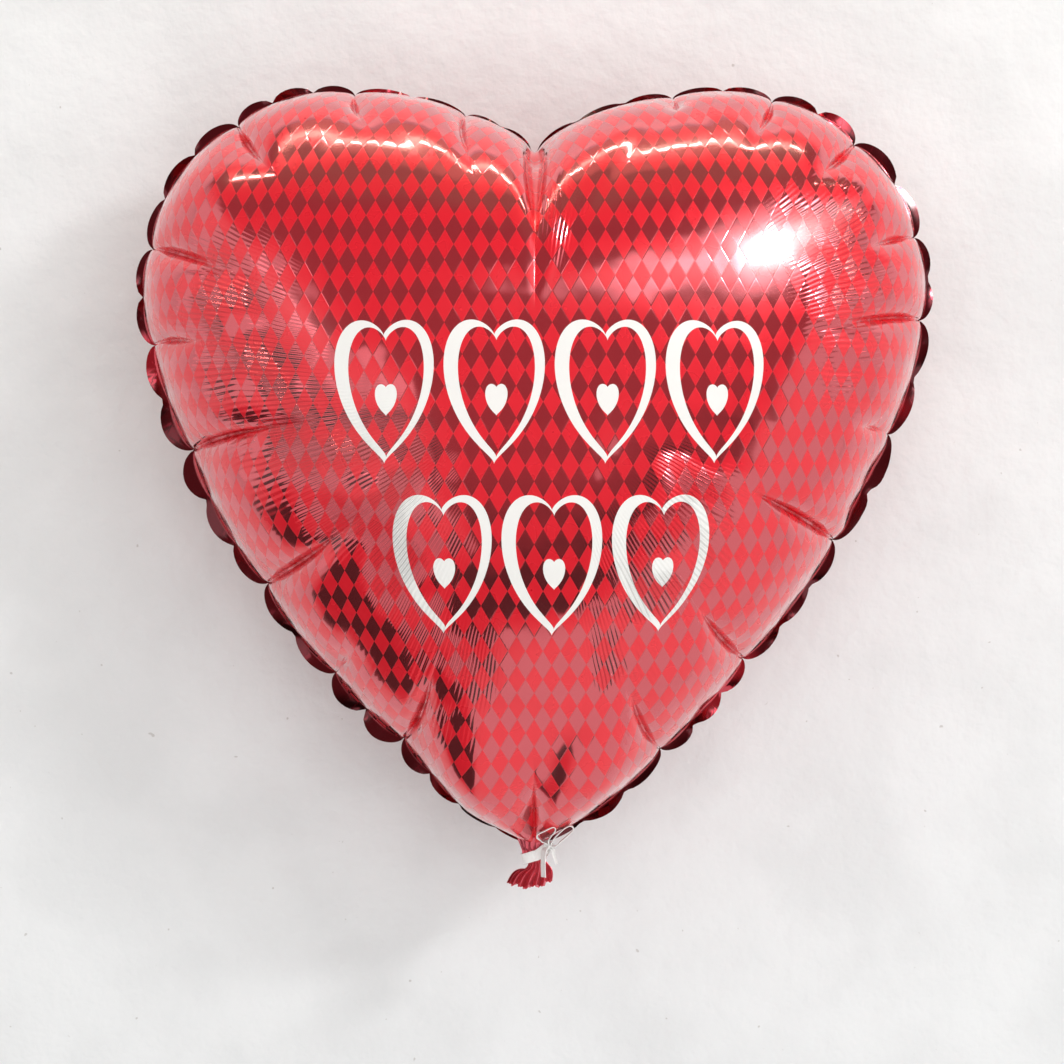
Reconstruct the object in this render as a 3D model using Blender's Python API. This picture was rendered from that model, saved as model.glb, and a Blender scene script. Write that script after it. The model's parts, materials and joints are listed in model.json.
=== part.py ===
"""Heart-shaped foil balloon, blown up, with its neck tied off by a flat ribbon.

Two panels of metallised film are welded together round a heart-shaped rim. The film runs on
through a gathered neck, which a ribbon ties shut, and ends in a short loose tail. A flat
two-ply valve lies inside, above the neck. The film is about 0.04 mm thick: here it has a
thicker wall, so that each piece is a solid.

Frame: metres, +Z up, X across the heart, -Y the printed front. The origin is the middle of
the ribbon tie. The panels meet at the plane y = 0.
"""
import math

import bmesh
import bpy
import numpy as np
from mathutils import Matrix, Vector

# Heart outline, which is the outer edge of the weld. Each half is three arcs that run into
# each other: a long one up the side, a tight one over the lobe, a flatter one to the notch.
HEART_HEIGHT = 0.361          # bottom tip to the top of a lobe
LOBE_X = 0.0912               # the lobe's highest point, from the middle
LOBE_RADIUS = 0.0985          # the lobe's outer arc
NOTCH_ARC_RADIUS = 0.163      # the arc from the lobe's top to the notch
SIDE_ARC_RADIUS = 0.391       # the arc from the tip to the lobe

# Panels
HALF_DEPTH = 0.088            # seam plane to the front of the bulge
BULGE_Z = 0.215               # height of the deepest point over the tip
BULGE_RADIUS = 0.150          # size of the round contours about the deepest point
BULGE_POWER = 2.9             # section of a blown-up film: depth = sqrt(1 - r ** power)
SEAM_WIDTH = 0.005            # flat weld round the rim
PUCKER_COUNT = 26             # pleats that gather the rim
PUCKER_DEPTH = 0.0025         # how far each one draws the rim in
WALL = 0.0006                 # wall of the film panels, valve and ribbon
GAP = 0.0003                  # air between pieces that touch

# Valve: two long plies inside the envelope
VALVE_WIDTH = 0.024
VALVE_LENGTH = 0.080
VALVE_SIDE_ROOM = 0.004       # its lower corners to the weld, which sets how low it starts

# Neck, in the tie's own frame, which leans over the Y axis
TIE_TILT = math.radians(-15)
NECK_HALF_WIDTH = 0.0055
NECK_HALF_DEPTH = 0.0040
NECK_PLEATS = 12
NECK_PLEAT_DEPTH = 0.0005
NECK_SHOWS_ABOVE = 0.0011     # film that shows over the ribbon's upper edge
NECK_SHOWS_BELOW = 0.0003     # and under its lower edge
TIP_CLEARANCE = 0.0004        # bunched film to the panels' tip

# Tail: the loose ends of both films under the tie, a fan that leans to -X
TAIL_ROOT_HALF_WIDTH = 0.0055
TAIL_ROOT_RADIUS = 0.0022     # its rounded top, which turns about the hinge
TAIL_LENGTHS = (0.0085, 0.0110)                       # hinge to ragged edge, -X and +X sides
TAIL_LEANS = (math.radians(84), math.radians(12))     # from straight down, the same two sides
TAIL_PLEATS = 5
TAIL_PLEAT_DEPTH = 0.0011

# Ribbon. The knot sits at the front of the +X side of the neck; routes start from its middle.
RIBBON_WIDTH = 0.005
KNOT_RADII = (0.0024, 0.0020, 0.0022)
KNOT_OUT = 0.0013             # knot's middle past the neck's side
KNOT_FORWARD = 0.0032         # and past its front
KNOT_UP = 0.0048
LOOP_LEFT = ((-0.0016, -0.0026, 0.0018), (-0.0040, -0.0050, 0.0036), (-0.0050, -0.0070, 0.0060),
             (-0.0016, -0.0084, 0.0080), (0.0022, -0.0086, 0.0097), (0.0028, -0.0076, 0.0080),
             (0.0014, -0.0056, 0.0056), (0.0002, -0.0034, 0.0032))
LOOP_RIGHT = ((0.0018, -0.0028, 0.0024), (0.0040, -0.0054, 0.0056), (0.0078, -0.0076, 0.0092),
              (0.0106, -0.0085, 0.0102), (0.0114, -0.0080, 0.0084), (0.0090, -0.0064, 0.0056),
              (0.0060, -0.0042, 0.0028), (0.0036, -0.0030, 0.0006))
END_LONG = ((-0.0016, -0.0028, -0.0010), (-0.0023, -0.0036, -0.0038), (-0.0026, -0.0038, -0.0088),
            (-0.0024, -0.0038, -0.0143))
END_SHORT = ((0.0021, -0.0018, -0.0020), (0.0027, -0.0024, -0.0046), (0.0038, -0.0026, -0.0082))

# Fineness of the meshes
RIM_POINTS_PER_PUCKER = 4
DOME_RINGS = 7
NECK_POINTS = 48
TAIL_COLUMNS_PER_PLEAT = 4
TAIL_ROWS = 7
STRIP_STEPS = 20

# Worked out from the sizes above
NECK_RISE = RIBBON_WIDTH / 2 + NECK_SHOWS_ABOVE
NECK_DROP = RIBBON_WIDTH / 2 + NECK_SHOWS_BELOW
TIP_Z = NECK_RISE + TIP_CLEARANCE
KNOT_CENTRE = np.array([NECK_HALF_WIDTH + KNOT_OUT, -NECK_HALF_DEPTH - KNOT_FORWARD, KNOT_UP])

RED_FILM = ("red_foil", (0.78, 0.02, 0.06), 0.18, 0.85)
CLEAR_FILM = ("valve_film", (0.80, 0.80, 0.82), 0.30, 0.0)
WHITE_RIBBON = ("white_ribbon", (0.88, 0.87, 0.86), 0.35, 0.0)


def clear_scene():
    for item in list(bpy.data.objects):
        bpy.data.objects.remove(item, do_unlink=True)


def material(look):
    """A Principled material, made once for each look."""
    name, colour, roughness, metallic = look
    made = bpy.data.materials.get(name)
    if made is None:
        made = bpy.data.materials.new(name)
        made.use_nodes = True
        shader = made.node_tree.nodes["Principled BSDF"]
        shader.inputs["Base Color"].default_value = (*colour, 1.0)
        shader.inputs["Roughness"].default_value = roughness
        shader.inputs["Metallic"].default_value = metallic
    return made


def add_piece(name, points, faces, look, place=None):
    """Turn points and faces into a smooth-shaded object at the place given by a matrix."""
    mesh = bpy.data.meshes.new(name)
    mesh.from_pydata([tuple(map(float, point)) for point in points], [], faces)
    skin = bmesh.new()
    skin.from_mesh(mesh)
    bmesh.ops.recalc_face_normals(skin, faces=skin.faces)
    skin.to_mesh(mesh)
    skin.free()
    mesh.shade_smooth()
    mesh.set_sharp_from_angle(angle=math.radians(35))
    mesh.materials.append(material(look))
    piece = bpy.data.objects.new(name, mesh)
    if place is not None:
        piece.matrix_world = place
    bpy.context.scene.collection.objects.link(piece)
    return piece


# Ways to close a surface into a solid

def rings_solid(rings, first_pole, last_pole):
    """Closed rings of points, joined in order and capped by a fan at each end."""
    rings = np.asarray(rings)
    count, size = rings.shape[:2]
    points = list(rings.reshape(-1, 3)) + [first_pole, last_pole]
    first, last = count * size, count * size + 1
    faces = []
    for ring in range(count - 1):
        for i in range(size):
            j = (i + 1) % size
            low, high = ring * size, (ring + 1) * size
            faces.append((low + i, low + j, high + j, high + i))
    end = (count - 1) * size
    for i in range(size):
        j = (i + 1) % size
        faces.append((first, j, i))
        faces.append((last, end + i, end + j))
    return points, faces


def sheet_solid(outer, inner):
    """Two grids of points, one over the other, joined along their four edges."""
    outer, inner = np.asarray(outer), np.asarray(inner)
    rows, columns = outer.shape[:2]
    points = list(outer.reshape(-1, 3)) + list(inner.reshape(-1, 3))
    under = rows * columns
    faces = []
    for r in range(rows - 1):
        for c in range(columns - 1):
            a, b = r * columns + c, r * columns + c + 1
            d, e = a + columns, b + columns
            faces.append((a, b, e, d))
            faces.append((under + a, under + d, under + e, under + b))
    border = [c for c in range(columns)]
    border += [r * columns + columns - 1 for r in range(1, rows)]
    border += [(rows - 1) * columns + c for c in range(columns - 2, -1, -1)]
    border += [r * columns for r in range(rows - 2, 0, -1)]
    for a, b in zip(border, border[1:] + border[:1]):
        faces.append((b, a, under + a, under + b))
    return points, faces


def band_solid(sections):
    """Closed sections set round a closed loop: the outer skin of a ring."""
    sections = np.asarray(sections)
    count, size = sections.shape[:2]
    faces = []
    for s in range(count):
        for i in range(size):
            here, there = s * size, (s + 1) % count * size
            j = (i + 1) % size
            faces.append((here + i, here + j, there + j, there + i))
    return list(sections.reshape(-1, 3)), faces


# The heart

def side_arc_centre():
    """Centre of the side arc: it passes the tip and touches the lobe arc from outside."""
    lobe = Vector((LOBE_X, HEART_HEIGHT - LOBE_RADIUS))
    far = lobe.length
    inner = SIDE_ARC_RADIUS - LOBE_RADIUS
    along = (SIDE_ARC_RADIUS ** 2 - inner ** 2 + far ** 2) / (2 * far)
    aside = math.sqrt(SIDE_ARC_RADIUS ** 2 - along ** 2)
    way = lobe / far
    return way * along + Vector((-way.y, way.x)) * aside


def arc(centre, radius, start, stop, steps=60):
    turn = np.linspace(start, stop, steps)
    return np.stack([centre[0] + radius * np.cos(turn), centre[1] + radius * np.sin(turn)], 1)


def heart_outline(count):
    """Points at even steps round the heart, from the tip up the +X side, as (x, z)."""
    side = side_arc_centre()
    lobe = Vector((LOBE_X, HEART_HEIGHT - LOBE_RADIUS))
    meet = math.atan2(lobe.y - side.y, lobe.x - side.x)
    notch_centre = (LOBE_X, HEART_HEIGHT - NOTCH_ARC_RADIUS)
    half = np.concatenate([
        arc(side, SIDE_ARC_RADIUS, math.atan2(-side.y, -side.x), meet),
        arc(lobe, LOBE_RADIUS, meet, math.pi / 2)[1:],
        arc(notch_centre, NOTCH_ARC_RADIUS, math.pi / 2, math.acos(-LOBE_X / NOTCH_ARC_RADIUS))[1:],
    ])
    loop = np.concatenate([half, half[::-1][1:] * (-1, 1)])
    run = np.concatenate([[0], np.cumsum(np.linalg.norm(np.diff(loop, axis=0), axis=1))])
    steps = np.arange(count) / count * run[-1]
    even = np.stack([np.interp(steps, run, loop[:, k]) for k in (0, 1)], 1)
    return even + (0, TIP_Z)


def inward_normals(outline):
    along = np.roll(outline, -1, axis=0) - np.roll(outline, 1, axis=0)
    along /= np.linalg.norm(along, axis=1, keepdims=True)
    return np.stack([-along[:, 1], along[:, 0]], 1)


def dome_rings(rim, depth, base_y, side):
    """Rings from the rim to the middle. Contours go from the rim's shape to a circle."""
    centre = np.array([0.0, TIP_Z + BULGE_Z])
    spoke = rim - centre
    reach = np.linalg.norm(spoke, axis=1, keepdims=True)
    rings = []
    for turn in np.linspace(0, math.pi / 2, DOME_RINGS + 1)[:-1]:
        share = math.cos(turn)
        flat = centre + spoke / reach * share * ((1 - share) * BULGE_RADIUS + share * reach)
        height = depth * math.sqrt(1 - share ** BULGE_POWER)
        y = np.full((len(rim), 1), side * (base_y + height))
        rings.append(np.hstack([flat[:, :1], y, flat[:, 1:]]))
    return rings


def panel(name, side):
    """One film panel: a bowl with a flat weld round it. side is -1 in front, 1 behind."""
    count = PUCKER_COUNT * RIM_POINTS_PER_PUCKER
    outline = heart_outline(count)
    inward = inward_normals(outline)
    pucker = PUCKER_DEPTH * (1 - np.abs(np.sin(math.pi * PUCKER_COUNT * np.arange(count) / count)))
    edge = outline + inward * pucker[:, None]
    weld = outline + inward * (SEAM_WIDTH + pucker[:, None] / 2)
    near, far = GAP / 2, GAP / 2 + WALL

    def ring(flat, y):
        return np.hstack([flat[:, :1], np.full((count, 1), side * y), flat[:, 1:]])

    outside = dome_rings(weld, HALF_DEPTH - far, far, side)
    inside = dome_rings(weld + inward * WALL, HALF_DEPTH - far - WALL, near, side)
    rings = outside[::-1] + [ring(edge, far), ring(edge, near)] + inside
    middle = TIP_Z + BULGE_Z
    first = (0.0, side * HALF_DEPTH, middle)
    last = (0.0, side * (HALF_DEPTH - 2 * WALL), middle)
    points, faces = rings_solid(rings, first, last)
    return add_piece(name, points, faces, RED_FILM)


def valve_start():
    """Height where the heart, inside its weld, is first wide enough for the valve."""
    outline = heart_outline(PUCKER_COUNT * 16)
    weld = outline + inward_normals(outline) * (SEAM_WIDTH + PUCKER_DEPTH)
    lower_side = weld[1:len(weld) // 5]
    return np.interp(VALVE_WIDTH / 2 + VALVE_SIDE_ROOM, lower_side[:, 0], lower_side[:, 1])


def valve_ply(name, side):
    """A flat strip with a rounded upper end, just off the seam plane."""
    across = np.linspace(-1, 1, 9)
    up = np.linspace(0, 1, 13)
    end = VALVE_WIDTH / 2 / VALVE_LENGTH
    taper = np.sqrt(np.clip(1 - ((up - 1 + end) / end).clip(0, 0.96) ** 2, 0, 1))
    x = across[None, :] * taper[:, None] * VALVE_WIDTH / 2
    z = valve_start() + np.repeat(up[:, None], len(across), axis=1) * VALVE_LENGTH
    outer = np.stack([x, np.full_like(x, side * (GAP / 2 + WALL)), z], 2)
    inner = np.stack([x, np.full_like(x, side * GAP / 2), z], 2)
    points, faces = sheet_solid(outer, inner)
    return add_piece(name, points, faces, CLEAR_FILM)


# The tie

def tie_frame():
    return Matrix.Rotation(TIE_TILT, 4, "Y")


def oval(grow, z):
    """A closed oval round the neck, a given distance outside its plain section."""
    turn = np.arange(NECK_POINTS) / NECK_POINTS * 2 * math.pi
    x = (NECK_HALF_WIDTH + grow) * np.cos(turn)
    y = (NECK_HALF_DEPTH + grow) * np.sin(turn)
    return np.stack([x, y, np.full_like(x, z)], 1)


def neck():
    """The bunched film inside the tie: an oval column with pleats down its length."""
    turn = np.arange(NECK_POINTS) / NECK_POINTS * NECK_PLEATS * 2 * math.pi
    pleat = -NECK_PLEAT_DEPTH * (0.5 - 0.5 * np.cos(turn))
    levels = np.linspace(-NECK_DROP, NECK_RISE, 5)
    rings = [oval(pleat, z) for z in levels]
    points, faces = rings_solid(rings, (0, 0, -NECK_DROP), (0, 0, NECK_RISE))
    return add_piece("neck", points, faces, RED_FILM, tie_frame())


def ribbon_band():
    """The turns of ribbon round the neck, as one band."""
    low, high = -RIBBON_WIDTH / 2, RIBBON_WIDTH / 2
    corners = [oval(GAP, low), oval(GAP + WALL, low), oval(GAP + WALL, high), oval(GAP, high)]
    points, faces = band_solid(np.stack(corners, 1))
    return add_piece("ribbon_band", points, faces, WHITE_RIBBON, tie_frame())


def ribbon_knot():
    """A small flattened lump with the turns of the knot showing as waists."""
    steps = np.linspace(0, math.pi, 9)[1:-1]
    turn = np.arange(16) / 16 * 2 * math.pi
    rings = []
    for step in steps:
        size = math.sin(step) * (1 + 0.12 * math.cos(2 * step))
        x = KNOT_RADII[0] * size * np.cos(turn)
        y = KNOT_RADII[1] * size * np.sin(turn)
        z = np.full_like(x, -KNOT_RADII[2] * math.cos(step))
        rings.append(np.stack([x, y, z], 1))
    points, faces = rings_solid(rings, (0, 0, -KNOT_RADII[2]), (0, 0, KNOT_RADII[2]))
    return add_piece("ribbon_knot", points, faces, WHITE_RIBBON, Matrix.Translation(KNOT_CENTRE))


def smooth_route(points, steps):
    """Even steps along a smooth curve through the points (uniform Catmull-Rom)."""
    points = np.asarray(points)
    padded = np.vstack([2 * points[0] - points[1], points, 2 * points[-1] - points[-2]])
    fine = []
    for i in range(1, len(padded) - 2):
        a, b, c, d = padded[i - 1:i + 3]
        t = np.linspace(0, 1, 12, endpoint=False)[:, None]
        fine.append(0.5 * (2 * b + (c - a) * t + (2 * a - 5 * b + 4 * c - d) * t ** 2
                           + (3 * b - a - 3 * c + d) * t ** 3))
    fine = np.vstack(fine + [points[-1:]])
    run = np.concatenate([[0], np.cumsum(np.linalg.norm(np.diff(fine, axis=0), axis=1))])
    return np.stack([np.interp(np.linspace(0, run[-1], steps), run, fine[:, k]) for k in range(3)], 1)


def ribbon_strip(name, route, across):
    """A flat ribbon along a route from the knot. Its width lies along the vector across."""
    line = smooth_route(route, STRIP_STEPS) + KNOT_CENTRE
    along = np.gradient(line, axis=0)
    along /= np.linalg.norm(along, axis=1, keepdims=True)
    wide = np.asarray(across, float) - along * (along @ np.asarray(across, float))[:, None]
    wide /= np.linalg.norm(wide, axis=1, keepdims=True)
    thick = np.cross(along, wide) * WALL / 2
    half = wide * RIBBON_WIDTH / 2
    edges = np.stack([line - half, line, line + half], 1)
    points, faces = sheet_solid(edges + thick[:, None], edges - thick[:, None])
    return add_piece(name, points, faces, WHITE_RIBBON)


# The tail

def tail_hinge():
    """Place of the tail's hinge, under the tie: the turn axis is the local X axis."""
    drop = NECK_DROP + 2 * GAP + TAIL_ROOT_RADIUS
    return tie_frame() @ Matrix.Translation((0, 0, -drop))


def tail_ply(name, side):
    """One film's loose end: a round root on the hinge, spreading into a pleated fan."""
    columns = TAIL_PLEATS * TAIL_COLUMNS_PER_PLEAT + 1
    across = np.linspace(0, 1, columns)
    root_x = TAIL_ROOT_HALF_WIDTH * (2 * across - 1)
    lean = TAIL_LEANS[0] + (TAIL_LEANS[1] - TAIL_LEANS[0]) * across
    length = TAIL_LENGTHS[0] + (TAIL_LENGTHS[1] - TAIL_LENGTHS[0]) * across
    above = TAIL_ROOT_RADIUS * np.array([0.92, 0.5])[:, None]
    down = np.linspace(0, 1, TAIL_ROWS)[:, None]
    fan_x = root_x - down * length * np.sin(lean)
    fan_z = -down * length * np.cos(lean)
    x = np.vstack([np.broadcast_to(root_x, (2, columns)), fan_x])
    z = np.vstack([np.broadcast_to(above, (2, columns)), fan_z])
    pleat = TAIL_PLEAT_DEPTH * (0.5 - 0.5 * np.cos(2 * math.pi * TAIL_PLEATS * across))
    depth = np.sqrt(TAIL_ROOT_RADIUS ** 2 - np.clip(z, 0, None) ** 2)
    depth[2:] -= pleat * down
    outer = np.stack([x, side * depth, z], 2)
    inner = np.stack([x, np.full_like(x, side * GAP / 2), z], 2)
    points, faces = sheet_solid(outer, inner)
    return add_piece(name, points, faces, RED_FILM, tail_hinge())


def build():
    clear_scene()
    panel("front_panel", -1)
    panel("back_panel", 1)
    valve_ply("valve_front_ply", -1)
    valve_ply("valve_back_ply", 1)
    neck()
    tail_ply("tail_front", -1)
    tail_ply("tail_back", 1)
    ribbon_band()
    ribbon_knot()
    ribbon_strip("ribbon_loop_left", LOOP_LEFT, (0, 1, 0))
    ribbon_strip("ribbon_loop_right", LOOP_RIGHT, (0, 1, 0))
    ribbon_strip("ribbon_end_long", END_LONG, (1, -1, 0))
    ribbon_strip("ribbon_end_short", END_SHORT, (1, 1, 0))


build()
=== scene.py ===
"""Looks of the heart-shaped foil balloon: printed film, puckered weld, tied neck and ribbon."""
import json
import math

import bpy
import numpy as np
from mathutils import Matrix, Vector


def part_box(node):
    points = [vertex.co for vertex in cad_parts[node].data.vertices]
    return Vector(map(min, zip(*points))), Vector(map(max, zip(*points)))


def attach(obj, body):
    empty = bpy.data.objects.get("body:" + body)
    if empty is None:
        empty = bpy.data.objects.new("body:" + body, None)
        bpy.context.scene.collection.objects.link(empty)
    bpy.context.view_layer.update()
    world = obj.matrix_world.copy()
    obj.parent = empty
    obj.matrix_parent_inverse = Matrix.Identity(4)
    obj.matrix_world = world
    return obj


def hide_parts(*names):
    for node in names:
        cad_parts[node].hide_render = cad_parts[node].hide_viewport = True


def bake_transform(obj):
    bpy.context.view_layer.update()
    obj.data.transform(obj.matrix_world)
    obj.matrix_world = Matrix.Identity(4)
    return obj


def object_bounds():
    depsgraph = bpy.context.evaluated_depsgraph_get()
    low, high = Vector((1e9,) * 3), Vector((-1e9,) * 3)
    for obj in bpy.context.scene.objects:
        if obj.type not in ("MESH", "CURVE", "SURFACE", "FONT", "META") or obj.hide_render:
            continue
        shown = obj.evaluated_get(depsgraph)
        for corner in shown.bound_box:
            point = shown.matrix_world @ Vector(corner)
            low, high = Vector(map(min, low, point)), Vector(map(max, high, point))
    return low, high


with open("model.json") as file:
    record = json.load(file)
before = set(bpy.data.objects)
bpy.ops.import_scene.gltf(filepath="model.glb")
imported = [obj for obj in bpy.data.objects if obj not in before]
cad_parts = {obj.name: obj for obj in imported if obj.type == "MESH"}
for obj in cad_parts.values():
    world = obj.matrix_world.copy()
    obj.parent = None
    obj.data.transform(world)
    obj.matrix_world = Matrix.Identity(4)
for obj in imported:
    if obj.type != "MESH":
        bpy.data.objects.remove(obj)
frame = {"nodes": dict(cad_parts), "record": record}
CAD_LOW, CAD_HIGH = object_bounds()

# Places and sizes read from the frame
PANEL_LOW, PANEL_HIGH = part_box("front_panel")
TAIL_HINGE = Vector(frame["record"]["behaviour"]["joints"][0]["pos_m"])
HINGE_AXIS = Vector(frame["record"]["behaviour"]["joints"][0]["axis"])

# The heart's outline, which is the outer edge of the weld, in shares of its height
TIP_Z = 0.004
HEIGHT = PANEL_HIGH[2] - TIP_Z
LOBE_X = 0.2530 * HEIGHT
LOBE_RADIUS = 0.2735 * HEIGHT
NOTCH_ARC_RADIUS = 0.4520 * HEIGHT
SIDE_ARC_RADIUS = 1.0850 * HEIGHT

# Blown-up film
HALF_DEPTH = -PANEL_LOW[1]
MIDDLE_Z = TIP_Z + 0.5960 * HEIGHT   # the deepest point
MIDDLE_RADIUS = 0.150                # size of the round contours about it
SECTION_POWER = 2.9                  # depth = sqrt(1 - share ** power)
SEAM_WIDTH = 0.0055
COLUMNS = 760
RINGS = 108
SEAM_RINGS = 4

# Folds that run in from the rim: place round the rim, place of the inner end, how far out
# the inner end lies (1 at the rim, 0 in the middle), and depth. Places go round from the tip,
# up the +X side and down the -X side, from 0 to 1.
FOLDS = (
    (0.000, 0.000, 0.90, 0.0016), (0.065, 0.052, 0.82, 0.0026), (0.115, 0.106, 0.78, 0.0034),
    (0.176, 0.182, 0.67, 0.0040), (0.225, 0.226, 0.90, 0.0014), (0.274, 0.283, 0.77, 0.0036),
    (0.310, 0.314, 0.88, 0.0026), (0.358, 0.353, 0.87, 0.0034), (0.398, 0.388, 0.87, 0.0030),
    (0.440, 0.432, 0.92, 0.0020), (0.500, 0.500, 0.42, 0.0040), (0.530, 0.541, 0.76, 0.0026),
    (0.577, 0.586, 0.88, 0.0026), (0.629, 0.641, 0.86, 0.0032), (0.695, 0.692, 0.80, 0.0034),
    (0.737, 0.732, 0.86, 0.0024), (0.783, 0.775, 0.70, 0.0042), (0.846, 0.855, 0.70, 0.0042),
    (0.892, 0.893, 0.92, 0.0014), (0.931, 0.940, 0.81, 0.0036),
)
PUFF = 0.066              # how far the film stands out between two folds, per metre between them
PUFF_POWER = 2.4          # how square the puff's shoulders are
GROOVE_WIDTH = 0.0014     # the sharp groove of a fold
VALLEY_WIDTH = 0.007      # the wide valley about it
SCALLOP = 0.023           # length of one small wave of the weld
WELD_WAVE = 0.0016        # how far the weld buckles to the front and back
DENT_DEPTH = 0.0009       # short dents beside the weld
DENT_REACH = 0.008
RIM_TO_MIDDLE = 0.19      # rough distance, for the reach of the dents
TIP_BUMP = 0.0055         # how far the film stands out beside the tip
# How wide the weld shows round the rim: place and share of its full width
WELD_SHOWS = ((0.00, 0.20), (0.035, 0.75), (0.06, 0.50), (0.09, 1.00), (0.15, 1.00), (0.182, 0.60),
              (0.200, 1.40), (0.220, 0.60), (0.28, 0.85), (0.36, 0.75), (0.44, 0.50), (0.50, 0.20),
              (0.56, 0.45), (0.64, 0.70), (0.72, 0.95), (0.80, 1.15), (0.90, 1.25), (0.95, 0.80),
              (0.97, 0.30), (1.00, 0.20))

# Bands of fine ripples: place round the rim, its spread, how far out, its spread, strength
RIPPLES = (
    (0.800, 0.030, 0.70, 0.13, 1.0), (0.850, 0.028, 0.62, 0.14, 1.0), (0.890, 0.024, 0.66, 0.13, 1.0),
    (0.825, 0.030, 0.48, 0.10, 0.8), (0.130, 0.030, 0.66, 0.13, 0.9), (0.085, 0.024, 0.66, 0.13, 1.0),
    (0.165, 0.014, 0.58, 0.12, 0.9), (0.705, 0.024, 0.82, 0.08, 0.9), (0.330, 0.020, 0.83, 0.07, 1.0),
    (0.285, 0.018, 0.84, 0.08, 0.8), (0.245, 0.016, 0.84, 0.07, 0.7), (0.755, 0.028, 0.78, 0.12, 1.0),
    (0.485, 0.010, 0.58, 0.12, 0.5), (0.940, 0.020, 0.78, 0.11, 0.7), (0.055, 0.012, 0.80, 0.08, 0.6),
)
RIPPLE_PITCH = 0.0034
RIPPLE_HEIGHT = 0.00048

# Print on the front film
DIAMOND_WIDTH = 0.0081
DIAMOND_HEIGHT = 0.0143
MOTIF_PITCH = 0.0500
MOTIF_HALF_WIDTH = 0.0200
MOTIF_HALF_HEIGHT = 0.0290
UPPER_ROW = (0.007, -0.006, 4)       # middle of the row, across and up, and how many hearts
LOWER_ROW = (0.008, -0.085, 3)

# Tie: the neck's own frame leans over the Y axis
TIE_TILT = -math.atan2(HINGE_AXIS.z, HINGE_AXIS.x)
NECK_HALF_WIDTH = 0.0055
NECK_HALF_DEPTH = 0.0040
NECK_TOP_HALF_WIDTH = 0.0085
NECK_TOP_HALF_DEPTH = 0.0070
NECK_TOP = 0.0095
NECK_LENGTH = 0.0125
NECK_PLEATS = 6.5             # half turns of the pleat wave, so 13 pleats

# Ribbon: routes start from the middle of the knot
RIBBON_WIDTH = 0.005
RIBBON_THICKNESS = 0.0004
RIBBON_CUP = 0.00018          # how far its middle stands over its edges
RIBBON_CLEARANCE = 0.0005     # its middle line over the neck
RIB_PITCH = 0.0005            # fine ribs along its length
KNOT = np.array([0.0068, -0.0072, 0.0048])
KNOT_HALF_SIZES = (0.0026, 0.0021, 0.0023)
LOOP_LEFT = ((-0.0016, -0.0026, 0.0018), (-0.0040, -0.0050, 0.0036), (-0.0050, -0.0070, 0.0060),
             (-0.0016, -0.0084, 0.0080), (0.0022, -0.0086, 0.0097), (0.0028, -0.0076, 0.0080),
             (0.0014, -0.0056, 0.0056), (0.0002, -0.0034, 0.0032))
LOOP_RIGHT = ((0.0018, -0.0028, 0.0024), (0.0040, -0.0054, 0.0056), (0.0078, -0.0076, 0.0092),
              (0.0106, -0.0085, 0.0102), (0.0114, -0.0080, 0.0084), (0.0090, -0.0064, 0.0056),
              (0.0060, -0.0042, 0.0028), (0.0036, -0.0030, 0.0006))
END_LONG = ((-0.0016, -0.0028, -0.0010), (-0.0023, -0.0036, -0.0038), (-0.0026, -0.0038, -0.0088),
            (-0.0024, -0.0038, -0.0143))
END_SHORT = ((0.0021, -0.0018, -0.0020), (0.0027, -0.0024, -0.0046), (0.0038, -0.0026, -0.0082))

# Tail
TAIL_ROOT_HALF_WIDTH = 0.0055
TAIL_ROOT_RADIUS = 0.0022
TAIL_FILM_THICKNESS = 0.00012
TAIL_LENGTHS = (0.0140, 0.0105)                           # at its left and right edges
TAIL_LEANS_OUT = (math.radians(122), math.radians(-40))   # where it leaves the tie: left, right
TAIL_LEANS_END = (math.radians(42), math.radians(24))     # at its loose edge
TAIL_PLEATS = 7
TAIL_STEM = 0.0022            # film above the round root, held inside the neck
TAIL_PINCH = 0.26             # how much narrower the stem is than the root
TAIL_FILM_APART = 0.0012      # front film to back film


def add_object(name, data):
    """A new object in the scene that shows the given data."""
    made = bpy.data.objects.new(name, data)
    bpy.context.scene.collection.objects.link(made)
    return made


# Camera

def camera():
    """Level, square to the front, far enough back for a nearly flat view."""
    distance, width_seen = 1.7, 0.504
    data = bpy.data.cameras.new("camera")
    data.sensor_width = 36
    data.lens = 36 * distance / width_seen
    eye = add_object("camera", data)
    eye.location = (-0.001, -distance, 0.153)
    eye.rotation_euler = (math.pi / 2, 0, 0)
    bpy.context.scene.camera = eye


# Meshes from grids

def grid_faces(rows, columns, wrap):
    """Quads between neighbouring points of a grid, joined round its columns if it wraps."""
    last = columns if wrap else columns - 1
    row, column = np.meshgrid(np.arange(rows - 1), np.arange(last), indexing="ij")
    a = row * columns + column
    b = row * columns + (column + 1) % columns
    return np.stack([a, b, b + columns, a + columns], 2).reshape(-1, 4)


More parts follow.
